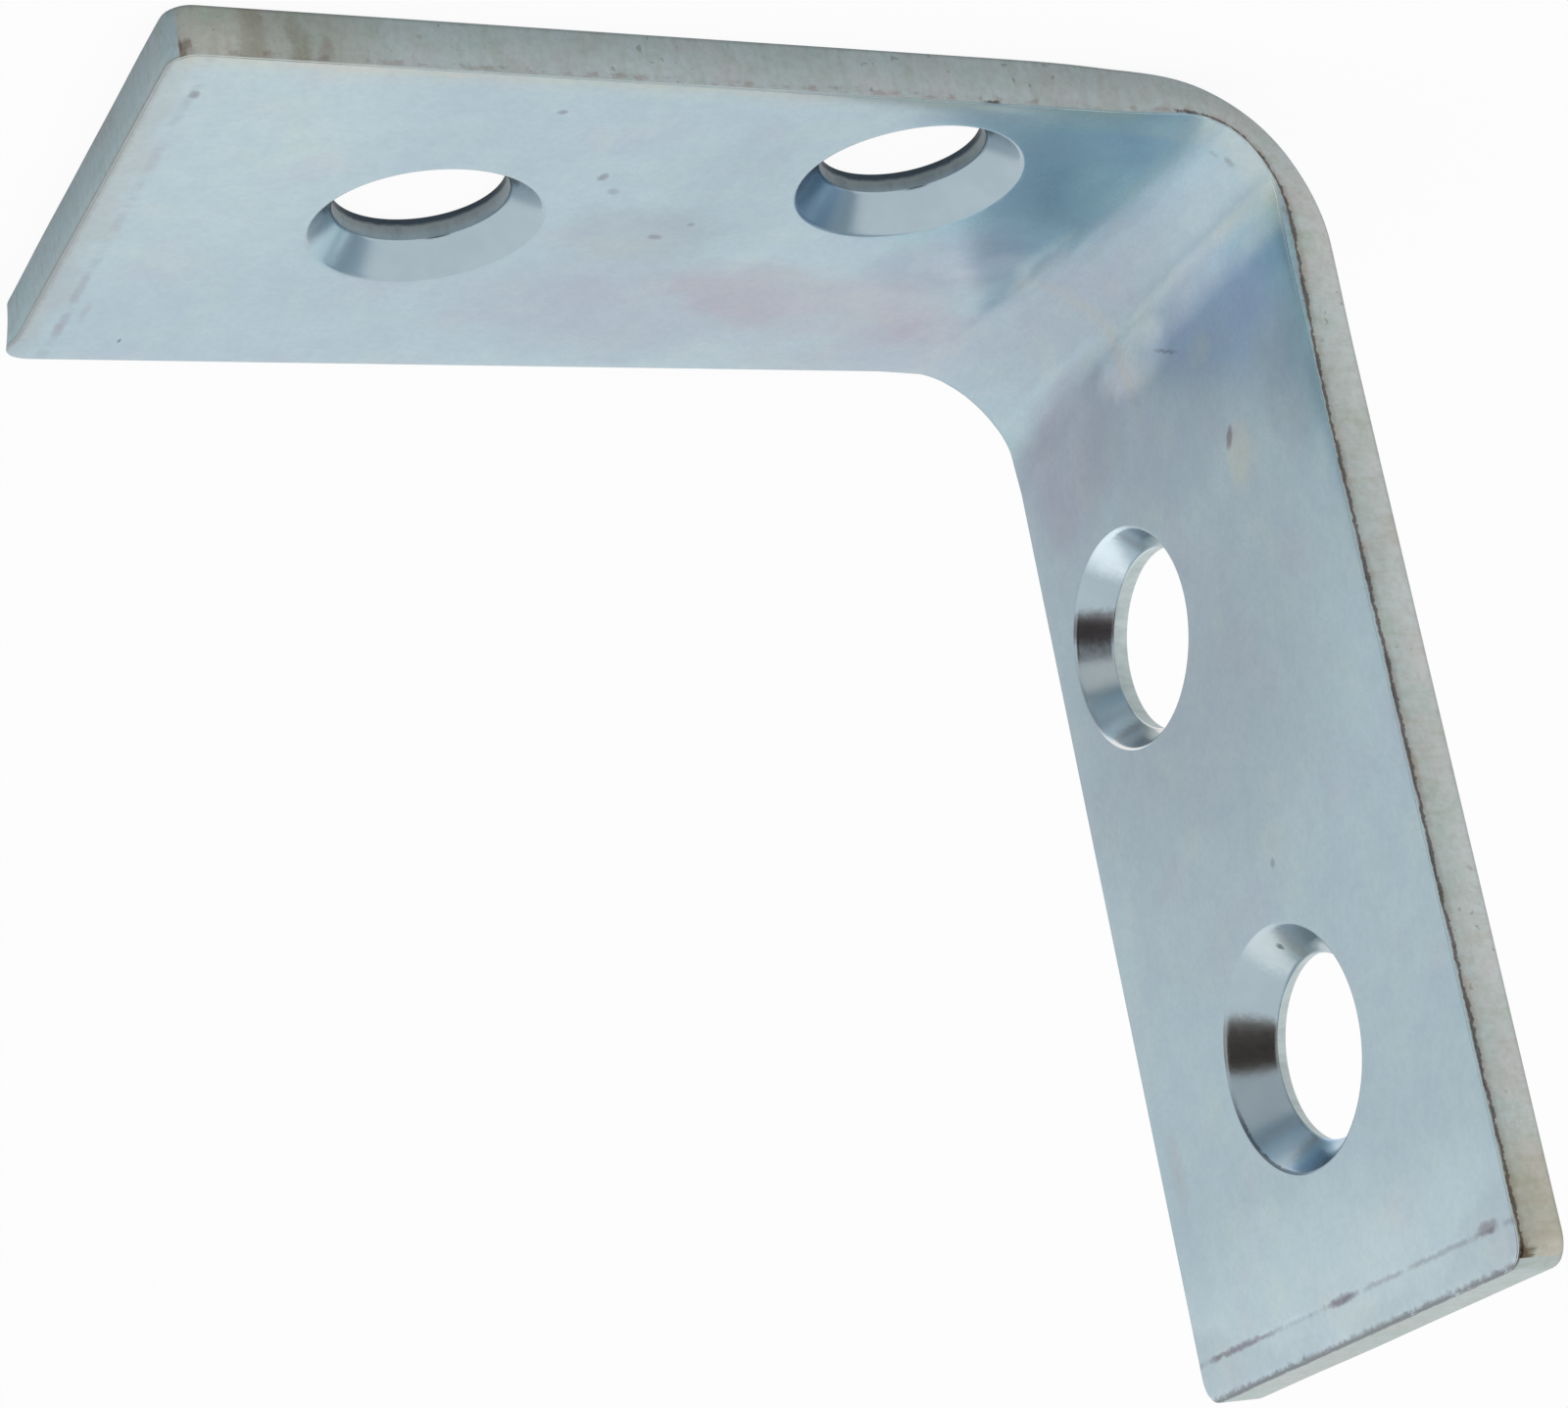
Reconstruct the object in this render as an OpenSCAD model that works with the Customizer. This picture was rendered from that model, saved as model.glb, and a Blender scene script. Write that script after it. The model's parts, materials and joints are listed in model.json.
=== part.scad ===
// Angle bracket folded from one strip of zinc plated steel, with four countersunk
// holes. The holes nearer the bend are staggered to opposite edges, so that screws
// driven through the two legs miss each other.
// The foot lies on Z = 0 and runs along X, and the upright stands at its -X end.
// The origin is under the middle of the foot.

/* [Legs] */
// Length of the foot, from the back of the upright to its tip
foot_len = 50; // [38:0.5:80]
// Height of the upright, from the underside of the foot to its tip
upright_len = 52; // [38:0.5:80]
// Width of the strip
strip_w = 25; // [22:0.5:40]
// Thickness of the sheet
sheet_t = 2.3; // [1.6:0.1:3]

/* [Bend] */
// Radius of the inside of the bend
bend_in_r = 4; // [2:0.1:6]
// Thickness left at the middle of the bend, where pressing thins the sheet
bend_t = 1.55; // [1.2:0.05:1.8]

/* [Holes] */
// Diameter of the round wall of each hole
bore_d = 7.8; // [6.5:0.1:9]
// Diameter of each countersink at the inner face
rim_d = 10.2; // [9:0.1:11]
// Angle of the countersink, across the whole cone
sink_angle = 78; // [70:1:110]
// Distance of the bend side holes from the strip's centre line
stagger = 5.7; // [0:0.1:6.2]
// Bend side hole of the foot, from the back of the upright
foot_bend_hole = 15.7; // [13:0.1:17.5]
// Tip side hole of the foot, from the tip
foot_tip_hole = 14.4; // [8:0.1:16]
// Bend side hole of the upright, from the underside of the foot
upright_bend_hole = 18.6; // [13:0.1:20.5]
// Tip side hole of the upright, from the tip
upright_tip_hole = 12.4; // [8:0.1:16]

/* [Edges] */
// Radius of the strip's corners, seen square to a leg
corner_r = 1.1; // [0.6:0.1:3]
// Radius that blanking leaves all round the outer faces
roll_r = 0.2; // [0.1:0.05:0.55]

/* [Hidden] */
$fn = 96;

// How far cutting shapes reach past the surface that they cut
over = 1;
half_w = strip_w / 2;
// The inner faces' arc is centred this far from both outer faces
in_centre = sheet_t + bend_in_r;
// Outer arc that leaves bend_t on the diagonal of the bend
bend_out_r = (sqrt(2) * in_centre - bend_in_r - bend_t) / (sqrt(2) - 1);
sink_depth = (rim_d - bore_d) / 2 / tan(sink_angle / 2);
zinc = [0.70, 0.76, 0.79];

// Side view of the folded strip: foot along X, upright along Y, outer faces on the axes
module folded_section() {
    difference() {
        union() {
            square([foot_len, sheet_t]);
            square([sheet_t, upright_len]);
            square(in_centre);
        }
        translate([in_centre, in_centre]) circle(r = bend_in_r);
        translate([bend_out_r, bend_out_r]) difference() {
            translate([-bend_out_r - over, -bend_out_r - over]) square(bend_out_r + over);
            circle(r = bend_out_r);
        }
    }
}

// Section of what blanking rounds off an edge. The metal lies at -X and +Y of the corner.
module roll_waste() {
    difference() {
        translate([-roll_r, -over]) square(roll_r + over);
        translate([-roll_r, roll_r]) circle(r = roll_r);
    }
}

// The modules below work on one leg laid along X, outer face down, bend at the origin

// What is cut from one long edge, one corner and half of the tip
module half_rim_waste(leg_len) {
    corner_x = leg_len - corner_r;
    corner_y = half_w - corner_r;
    translate([bend_out_r, half_w, 0]) rotate([90, 0, 90])
        linear_extrude(corner_x - bend_out_r) roll_waste();
    translate([corner_x, corner_y, 0]) rotate_extrude(angle = 90)
        translate([corner_r, 0]) roll_waste();
    translate([leg_len, corner_y, 0]) rotate([90, 0, 0]) linear_extrude(corner_y) roll_waste();
    translate([corner_x, corner_y, -over]) linear_extrude(sheet_t + 2 * over) difference() {
        square(corner_r + over);
        circle(r = corner_r);
    }
}

// Screw hole through the leg, opening out at the inner face
module countersunk_hole(along, across) {
    flare = over * tan(sink_angle / 2);
    translate([along, across, -over]) cylinder(h = sheet_t + 2 * over, d = bore_d);
    translate([along, across, sheet_t - sink_depth])
        cylinder(h = sink_depth + over, d1 = bore_d, d2 = rim_d + 2 * flare);
}

// Everything that is cut from one leg. The bend side hole goes to the side given.
module leg_cuts(leg_len, bend_hole, tip_hole, side) {
    half_rim_waste(leg_len);
    mirror([0, 1, 0]) half_rim_waste(leg_len);
    countersunk_hole(bend_hole, side * stagger);
    countersunk_hole(leg_len - tip_hole, 0);
}

// What blanking rounds off one outer edge of the bend
module bend_waste() {
    translate([bend_out_r, half_w, bend_out_r]) rotate([0, 90, 0]) rotate([-90, 0, 0])
        rotate_extrude(angle = 90) translate([bend_out_r, 0]) rotate(90) roll_waste();
}

module bracket() {
    color(zinc) translate([-foot_len / 2, 0, 0]) difference() {
        translate([0, half_w, 0]) rotate([90, 0, 0]) linear_extrude(strip_w) folded_section();
        leg_cuts(foot_len, foot_bend_hole, foot_tip_hole, -1);
        mirror([1, 0, 0]) rotate([0, -90, 0])
            leg_cuts(upright_len, upright_bend_hole, upright_tip_hole, 1);
        bend_waste();
        mirror([0, 1, 0]) bend_waste();
    }
}

bracket();
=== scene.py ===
import json
import math

import bpy
from mathutils import Matrix, Vector, noise


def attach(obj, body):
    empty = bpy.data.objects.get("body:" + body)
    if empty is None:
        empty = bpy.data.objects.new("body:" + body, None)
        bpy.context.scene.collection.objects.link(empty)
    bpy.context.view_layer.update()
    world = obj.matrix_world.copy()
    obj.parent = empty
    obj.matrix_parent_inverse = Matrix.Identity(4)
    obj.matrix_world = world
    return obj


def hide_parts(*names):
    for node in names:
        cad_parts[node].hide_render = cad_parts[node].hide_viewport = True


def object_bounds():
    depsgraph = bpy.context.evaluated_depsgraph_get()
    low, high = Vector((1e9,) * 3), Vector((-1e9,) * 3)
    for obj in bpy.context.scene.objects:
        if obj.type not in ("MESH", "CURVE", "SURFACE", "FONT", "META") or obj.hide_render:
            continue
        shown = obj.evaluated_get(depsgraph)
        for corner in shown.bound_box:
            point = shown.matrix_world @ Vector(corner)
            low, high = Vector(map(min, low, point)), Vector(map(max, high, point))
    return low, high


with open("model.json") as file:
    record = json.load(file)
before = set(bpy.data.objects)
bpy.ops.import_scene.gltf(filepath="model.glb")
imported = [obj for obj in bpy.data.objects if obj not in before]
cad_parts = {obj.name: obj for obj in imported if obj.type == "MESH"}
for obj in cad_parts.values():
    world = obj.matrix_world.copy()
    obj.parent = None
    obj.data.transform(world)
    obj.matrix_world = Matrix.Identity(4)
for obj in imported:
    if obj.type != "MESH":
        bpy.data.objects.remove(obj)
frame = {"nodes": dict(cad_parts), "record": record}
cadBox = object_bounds()
mm = 0.001
touch = 0.01        # mm, places closer than this are the same place


# Camera and stage

viewOptions = {
    "place": (71.06, -141.54, 78.35),   # mm, where the lens stands
    "aim": (-1.26, -1.31, 24.28),       # mm, a point on its axis
    "roll": 169.77,                     # degrees: the picture was taken nearly upside down
    "lens": 93.85,
    "sensor": 36,
    "clip": (5, 20000),                 # mm
}

stageOptions = {
    "floorSize": 6000,                  # mm
    "floorColour": (0.72, 0.72, 0.72),
    "floorToLens": 0.93,                # share of plain white in what the lens sees of the floor
    "floorToMetal": 0.4,                # and in what the metal reflects of it
    "cardAngle": -52,                   # degrees; a dark card that only the metal reflects
    "cardAway": 350,                    # mm
    "cardSize": (165, 312),
    "cardColour": (0.05, 0.03, 0.022),
}


def addCamera():
    data = bpy.data.cameras.new("productLens")
    camera = bpy.data.objects.new("productCamera", data)
    bpy.context.scene.collection.objects.link(camera)
    place = Vector(viewOptions["place"]) * mm
    look = Vector(viewOptions["aim"]) * mm - place
    turn = look.to_track_quat("-Z", "Y").to_matrix().to_4x4()
    camera.matrix_world = (Matrix.Translation(place) @ turn
                           @ Matrix.Rotation(math.radians(viewOptions["roll"]), 4, "Z"))
    data.lens = viewOptions["lens"]
    data.sensor_width = viewOptions["sensor"]
    data.clip_start, data.clip_end = [reach * mm for reach in viewOptions["clip"]]
    bpy.context.scene.camera = camera
    bpy.context.scene.view_settings.view_transform = "Standard"


class Wire:
    # an output socket that takes part in plain arithmetic
    def __init__(self, board, socket):
        self.board = board
        self.socket = socket

    def sum(self, operation, other=None, flip=False):
        values = [other, self] if flip else [self, other]
        sockets = {i: v for i, v in enumerate(values) if v is not None}
        return self.board.node("ShaderNodeMath", {"operation": operation}, sockets)

    def __add__(self, other):
        return self.sum("ADD", other)

    def __radd__(self, other):
        return self.sum("ADD", other, flip=True)

    def __sub__(self, other):
        return self.sum("SUBTRACT", other)

    def __rsub__(self, other):
        return self.sum("SUBTRACT", other, flip=True)

    def __mul__(self, other):
        return self.sum("MULTIPLY", other)

    def __rmul__(self, other):
        return self.sum("MULTIPLY", other, flip=True)

    def __abs__(self):
        return self.sum("ABSOLUTE")

    def atLeast(self, other):
        return self.sum("MAXIMUM", other)

    def atMost(self, other):
        return self.sum("MINIMUM", other)

    def near(self, place, inner, outer):
        # 1 within inner of a place, 0 past outer
        return 1.0 - abs(self - place).between(inner, outer)

    def between(self, low, high):
        # 0 under low, 1 over high, and a soft step between them
        sockets = {"Value": self, "From Min": low, "From Max": high}
        return self.board.node("ShaderNodeMapRange", {"interpolation_type": "SMOOTHSTEP"}, sockets)


class Board:
    # a node tree and the one method that adds nodes to it
    def __init__(self, tree):
        self.tree = tree
        tree.nodes.clear()

    def node(self, kind, settings, sockets, output=0):
        made = self.tree.nodes.new(kind)
        for name, value in settings.items():
            setattr(made, name, value)
        for name, value in sockets.items():
            if isinstance(value, Wire):
                self.tree.links.new(value.socket, made.inputs[name])
            else:
                made.inputs[name].default_value = value
        return Wire(self, made.outputs[output]) if made.outputs else None

    def blend(self, share, first, second, way="MIX"):
        settings = {"data_type": "RGBA", "blend_type": way}
        sockets = {0: share, 6: self.rgba(first), 7: self.rgba(second)}
        return self.node("ShaderNodeMix", settings, sockets, 2)

    def tint(self, colour, share, factor):
        # multiplies a colour by a factor where share is 1
        return self.blend(share, colour, factor, "MULTIPLY")

    def stretch(self, place, factors):
        return self.node("ShaderNodeVectorMath", {"operation": "MULTIPLY"}, {0: place, 1: factors})

    def parts(self, place):
        split = self.node("ShaderNodeSeparateXYZ", {}, {0: place})
        return [Wire(self, output) for output in split.socket.node.outputs]

    def rgba(self, colour):
        return colour if isinstance(colour, Wire) else (*colour, 1)

    def cloud(self, place, size, detail=2.0, roughness=0.5, shift=0.0):
        # soft noise whose patches are about size across
        moved = self.node("ShaderNodeVectorMath", {"operation": "ADD"}, {0: place, 1: [shift] * 3})
        sockets = {"Vector": moved, "Scale": 1 / size, "Detail": detail, "Roughness": roughness}
        return self.node("ShaderNodeTexNoise", {}, sockets)


def newBoard(name):
    material = bpy.data.materials.new(name)
    material.use_nodes = True
    return material, Board(material.node_tree)


def addFloor():
    material, board = newBoard("floorPaper")
    lens = board.node("ShaderNodeLightPath", {}, {}, "Is Camera Ray")
    glossy = board.node("ShaderNodeLightPath", {}, {}, "Is Glossy Ray")
    through = board.node("ShaderNodeLightPath", {}, {}, "Is Transmission Ray")
    mirrored = (glossy + through).atMost(1.0) * stageOptions["floorToMetal"]
    seen = (lens * stageOptions["floorToLens"]).atLeast(mirrored)
    paper = board.node("ShaderNodeBsdfDiffuse", {}, {"Color": (*stageOptions["floorColour"], 1)})
    white = board.node("ShaderNodeEmission", {}, {"Color": (1, 1, 1, 1), "Strength": 1.0})
    both = board.node("ShaderNodeMixShader", {}, {0: seen, 1: paper, 2: white})
    board.node("ShaderNodeOutputMaterial", {}, {"Surface": both})
    bpy.ops.mesh.primitive_plane_add(size=stageOptions["floorSize"] * mm)
    floor = bpy.context.object
    floor.name = "floor"
    floor.data.materials.append(material)


def addCard():
    s = stageOptions
    material, board = newBoard("darkCard")
    card = board.node("ShaderNodeEmission", {}, {"Color": (*s["cardColour"], 1), "Strength": 1.0})
    board.node("ShaderNodeOutputMaterial", {}, {"Surface": card})
    angle = math.radians(s["cardAngle"])
    wide, tall = s["cardSize"]
    away = s["cardAway"]
    place = Vector((math.cos(angle) * away, math.sin(angle) * away, tall / 2)) * mm
    upright = (math.pi / 2, 0, angle + math.pi / 2)
    bpy.ops.mesh.primitive_plane_add(size=1, location=place, rotation=upright)
    flag = bpy.context.object
    flag.name = "darkCard"
    flag.scale = (wide * mm, tall * mm, 1)
    flag.data.materials.append(material)
    flag.visible_camera = False
    flag.visible_diffuse = False
    flag.visible_shadow = False


def addSky():
    world = bpy.data.worlds.new("lightTent")
    bpy.context.scene.world = world
    world.use_nodes = True
    board = Board(world.node_tree)
    back = board.node("ShaderNodeBackground", {}, {"Color": (1, 1, 1, 1), "Strength": 1.0})
    board.node("ShaderNodeOutputWorld", {}, {"Surface": back})


addCamera()
addFloor()
addCard()
addSky()
print("stage and camera stand")


# The folded strip

foldOptions = {                 # mm
    "sheet": 2.3,
    "innerBend": 4.0,           # radius of the inside of the bend
    "outerBend": 8.11,          # radius of its outside, which leaves 1.55 at its middle
    "bendSteps": 28,
    "corner": 1.1,              # plan radius of the tips' corners
    "cornerSteps": 8,
    "roll": 0.18,               # rounding round the outer faces
    "lip": 0.09,                # rounding round the inner faces
    "rollSteps": 4,
    "wallCuts": 27,
    "station": 0.4,             # spacing of the cuts across the legs
    "column": 0.5,              # spacing of the cuts along the legs
    "smooth": 32,               # degrees, under which two faces are shaded as one
    "clear": 0.05,              # the first cut's distance from the end of the bend
    # closer cuts beside the long edges and beside the tips
    "edgeColumns": (0.15, 0.3, 0.45, 0.6, 0.8, 1.05),
    "tipStations": (0.15, 0.3, 0.5, 0.75, 1.0, 1.3, 1.5, 1.6, 1.7, 1.8, 1.9, 2.0, 2.15),
}


def selectOnly(piece):
    bpy.ops.object.select_all(action="DESELECT")
    bpy.context.view_layer.objects.active = piece
    piece.select_set(True)


def editOnly(piece):
    selectOnly(piece)
    bpy.ops.object.mode_set(mode="EDIT")
    bpy.ops.mesh.select_all(action="DESELECT")


def leaveEdit():
    bpy.ops.object.mode_set(mode="OBJECT")


def pick(piece, kind, test):
    # selects the vertices, edges or faces of the piece whose corners pass a test
    leaveEdit()
    mesh = piece.data
    for group in (mesh.vertices, mesh.edges, mesh.polygons):
        group.foreach_set("select", [False] * len(group))
    if kind == "VERT":
        for corner in mesh.vertices:
            corner.select = test([corner.co])
    else:
        for part in mesh.edges if kind == "EDGE" else mesh.polygons:
            part.select = test([mesh.vertices[i].co for i in part.vertices])
    bpy.ops.object.mode_set(mode="EDIT")
    bpy.ops.mesh.select_mode(type=kind)


def applyModifier(piece, kind, settings):
    selectOnly(piece)
    modifier = piece.modifiers.new(kind.lower(), kind)
    for name, value in settings.items():
        setattr(modifier, name, value)
    bpy.ops.object.modifier_apply(modifier=modifier.name)


def addSheet(name, offset, radius, rimWeight):
    # one face of the strip: flat foot, quarter bend, flat upright, and its rim marked for rounding
    o = foldOptions
    low, high = cadBox
    centreX = low.x + (offset + radius) * mm
    centreZ = low.z + (offset + radius) * mm
    near = touch * mm
    middle = ((high.x + centreX) / 2, 0, low.z + offset * mm)
    bpy.ops.mesh.primitive_plane_add(size=1, location=middle)
    sheet = bpy.context.object
    sheet.name = name
    sheet.scale = (high.x - centreX, high.y - low.y, 1)
    selectOnly(sheet)
    bpy.ops.object.transform_apply(location=True, rotation=True, scale=True)
    pick(sheet, "EDGE", lambda ends: max(p.x for p in ends) < centreX + near)
    bpy.ops.mesh.spin(steps=o["bendSteps"], angle=-math.pi / 2, center=(centreX, 0, centreZ),
                      axis=(0, 1, 0))
    pick(sheet, "EDGE", lambda ends: min(p.z for p in ends) > centreZ - near)
    bpy.ops.mesh.extrude_edges_move(TRANSFORM_OT_translate={"value": (0, 0, high.z - centreZ)})
    pick(sheet, "VERT", lambda ends: ends[0].x > high.x - near or ends[0].z > high.z - near)
    bpy.ops.mesh.bevel(affect="VERTICES", offset=o["corner"] * mm, segments=o["cornerSteps"],
                       profile=0.5)
    bpy.ops.mesh.select_mode(type="EDGE")
    bpy.ops.mesh.select_non_manifold(extend=False)
    bpy.ops.transform.edge_bevelweight(value=rimWeight)
    leaveEdit()
    return sheet


def blankPlace(p):
    # where a point lies on the flat blank, in mm: along from the heel (the foot is negative),
    # across from the near edge to the far one, and depth from the outer face to the inner one
    o = foldOptions
    x = (p.x - cadBox[0].x) / mm
    z = (p.z - cadBox[0].z) / mm
    centreOut = o["outerBend"]
    centreShift = o["sheet"] + o["innerBend"] - centreOut
    radiusShift = o["innerBend"] - o["outerBend"]
    # at a share of the depth the arc's centre and radius are shifted by that share of both shifts
    if x >= centreOut or z >= centreOut:
        share = min(x, z) / o["sheet"]
    else:
        dx, dz = x - centreOut, z - centreOut
        a = 2 * centreShift ** 2 - radiusShift ** 2
        b = -2 * centreShift * (dx + dz) - 2 * o["outerBend"] * radiusShift
        c = dx * dx + dz * dz - o["outerBend"] ** 2
        root = math.sqrt(max(b * b - 4 * a * c, 0))
        share = (-b + root) / (2 * a) if abs(a) > 1e-9 else -c / b
        centre = centreOut + share * centreShift
        if x > centre or z > centre:
            share = min(x, z) / o["sheet"]
    centre = centreOut + share * centreShift
    if x > centre:
        along = -x
    elif z > centre:
        along = z
    else:
        turn = math.atan2(centre - x, centre - z) - math.pi / 4
        along = turn / (math.pi / 4) * centre
    return along, p.y / mm, share * o["sheet"]


def cutAcross(piece, axis, places):
    editOnly(piece)
    normal = [0, 0, 0]
    normal["xyz".index(axis)] = 1
    for place in places:
        spot = [n * place for n in normal]
        bpy.ops.mesh.select_all(action="SELECT")
        bpy.ops.mesh.bisect(plane_co=spot, plane_no=normal, use_fill=False, threshold=1e-7)
    leaveEdit()


def evenly(start, end, spacing):
    count = max(1, round(abs(end - start) / spacing))
    return [start + (end - start) * i / count for i in range(1, count)]


def foldStrip():
    o = foldOptions
    outer = addSheet("bracketStrip", 0, o["outerBend"], 1.0)
    inner = addSheet("innerSheet", o["sheet"], o["innerBend"], o["lip"] / o["roll"])
    bpy.ops.object.select_all(action="DESELECT")
    outer.select_set(True)
    inner.select_set(True)
    bpy.context.view_layer.objects.active = outer
    bpy.ops.object.join()
    editOnly(outer)
    bpy.ops.mesh.select_mode(type="EDGE")
    bpy.ops.mesh.select_non_manifold(extend=False)
    bpy.ops.mesh.bridge_edge_loops()
    bpy.ops.mesh.select_all(action="SELECT")
    bpy.ops.mesh.normals_make_consistent(inside=False)
    leaveEdit()
    applyModifier(outer, "BEVEL", {"width": o["roll"] * mm, "limit_method": "WEIGHT",
                                   "segments": o["rollSteps"], "use_clamp_overlap": False,
                                   "affect": "EDGES"})
    # the long edges of the walls, from one face to the other
    tall = o["sheet"] / 2
    pick(outer, "EDGE", lambda ends: abs(blankPlace(ends[0])[2] - blankPlace(ends[1])[2]) > tall)
    bpy.ops.mesh.subdivide(number_cuts=o["wallCuts"])
    leaveEdit()
    return outer


# Holes

holeOptions = {                 # mm
    "steps": 128,
    "rimRound": 0.22,           # radius of the rounding where a countersink meets the face
    "rimSteps": 4,
    "coneRings": (0.06, 0.5, 0.94),     # rings close to a cone's ends keep its shading straight
    "mouthBreak": 0.03,         # broken edge at the outer face
    "wallBreak": (0.02, 0.03),  # and where the cone meets the wall: outwards and up, and down
    "past": 1.0,
    # the punch left each hole a little different: rim, depth of the cone, narrowest radius,
    # radius at the back
    "foot_hole_tip_side": (5.01, 1.30, 3.78, 3.76),
    "foot_hole_bend_side": (4.92, 1.45, 3.62, 3.55),
    "upright_hole_bend_side": (5.00, 1.52, 4.10, 4.20),
    "upright_hole_tip_side": (5.29, 1.80, 3.97, 4.08),
}


def sinkProfile(name):
    # half section of a hole as (radius, height over the inner face), from the outer face up to the rim
    h = holeOptions
    sheet = foldOptions["sheet"]
    rim, depth, wall, mouth = h[name]
    lean = math.pi / 2 - math.atan2(rim - wall, depth)
    tangent = h["rimRound"] * math.tan(lean / 2)
    out, side = h["wallBreak"]
    rings = [(mouth + h["mouthBreak"], -sheet), (mouth, -sheet + h["mouthBreak"]),
             (wall, -depth - side), (wall + out, -depth + out)]
    rounding = []
    for i in range(h["rimSteps"] + 1):
        turn = lean * (1 - i / h["rimSteps"])
        rounding.append((rim + tangent - h["rimRound"] * math.sin(turn),
                         h["rimRound"] * (math.cos(turn) - 1)))
    low, high = rings[-1], rounding[0]
    for part in h["coneRings"]:
        rings.append((low[0] + (high[0] - low[0]) * part, low[1] + (high[1] - low[1]) * part))
    rings += rounding
    # the last ring stands clear of the inner face, and the cutter goes straight up from it
    rings[-1] = (rings[-1][0] + touch, touch / 5)
    rings.append((rings[-1][0], h["past"]))
    return rings


def addCutter(name):
    # the hole's shape turned round Z, standing on the inner face
    h = holeOptions
    rings = sinkProfile(name)
    start = -foldOptions["sheet"] - h["past"]
    wide, high = rings[0][0], start
    bpy.ops.mesh.primitive_circle_add(vertices=h["steps"], radius=wide * mm, fill_type="NGON",
                                      location=(0, 0, start * mm))
    cutter = bpy.context.object
    cutter.name = "cutter"
    editOnly(cutter)
    bpy.ops.mesh.select_all(action="SELECT")
    for nextWide, nextHigh in rings:
        rise = (0, 0, (nextHigh - high) * mm)
        bpy.ops.mesh.extrude_region_move(TRANSFORM_OT_translate={"value": rise})
        growth = nextWide / wide
        bpy.ops.transform.resize(value=(growth, growth, 1))
        wide, high = nextWide, nextHigh
    bpy.ops.mesh.select_all(action="SELECT")
    bpy.ops.mesh.normals_make_consistent(inside=False)
    leaveEdit()
    bpy.ops.object.transform_apply(location=True)
    return cutter


def liesFlat(mount):
    # a hole of the foot points up or down, a hole of the upright along X
    return abs(mount["axis"][2]) > 0.5


def cutHoles(piece):
    # each bore that the record states, at its place and along its axis
    for mount in frame["record"]["mounts"]:
        if mount["kind"] != "bore":
            continue
        cutter = addCutter(mount["name"])
        centre = Vector(mount["pos_m"])
        if liesFlat(mount):
            centre.z = cadBox[0].z + foldOptions["sheet"] * mm
        else:
            centre.x = cadBox[0].x + foldOptions["sheet"] * mm
            cutter.rotation_euler = (0, math.pi / 2, 0)
        cutter.location = centre
        bpy.ops.object.transform_apply(location=True, rotation=True)
        applyModifier(piece, "BOOLEAN", {"object": cutter, "operation": "DIFFERENCE",
                                         "solver": "EXACT"})
        bpy.data.objects.remove(cutter)


def gridStrip(piece):
    # cuts both legs and the bend into small cells, closer beside the edges and the tips
    o = foldOptions
    low, high = cadBox
    bendEnd = (o["outerBend"] + o["clear"]) * mm
    tips = [t * mm for t in o["tipStations"]]
    for axis in "xz":
        start, end = getattr(low, axis), getattr(high, axis)
        legs = evenly(bendEnd, end - start - tips[-1], o["station"] * mm)
        cutAcross(piece, axis, [start + place for place in legs] + [end - t for t in tips])
    edges = [t * mm for t in o["edgeColumns"]]
    columns = evenly(low.y + edges[-1], high.y - edges[-1], o["column"] * mm)
    cutAcross(piece, "y", columns + [low.y + t for t in edges] + [high.y - t for t in edges])


def stripSizes():
    # half the width, the foot's length and the upright's, in mm
    foot, width, upright = [(high - low) / mm for low, high in zip(*cadBox)]
    return width / 2, foot, upright


def markStrip(piece):
    # stores what the finish follows: each point's place on the flat blank, and beside the crack
    mesh = piece.data
    places = [blankPlace(v.co) for v in mesh.vertices]
    blank = mesh.attributes.new("blank", "FLOAT_VECTOR", "POINT")
    blank.data.foreach_set("vector", [n for place in places for n in place])
    split = mesh.attributes.new("split", "FLOAT_VECTOR", "POINT")
    split.data.foreach_set("vector", [n for place in places for n in splitPlace(*place)])
    return places


def splitPlace(along, across, depth):
    # height over the crack's line in mm, how open it is there, and 1 on the tips' end faces
    c = crackOptions
    half, footTip, uprightTip = stripSizes()
    onTip = min(footTip + along, uprightTip - along) < half - abs(across)
    if onTip:
        level, gape = c["uprightEnd" if along > 0 else "footEnd"]
        level += 0.025 * noise.noise((across * 0.6, along, 3))
        gape += 0.8 * noise.noise((across * 0.7, along, 8))
    else:
        level, gape = crackPlace(along, math.copysign(1, across))
    return depth - level * foldOptions["sheet"], min(max(gape, 0), 1), float(onTip)


# What bending, shearing and the die left in the metal

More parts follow.
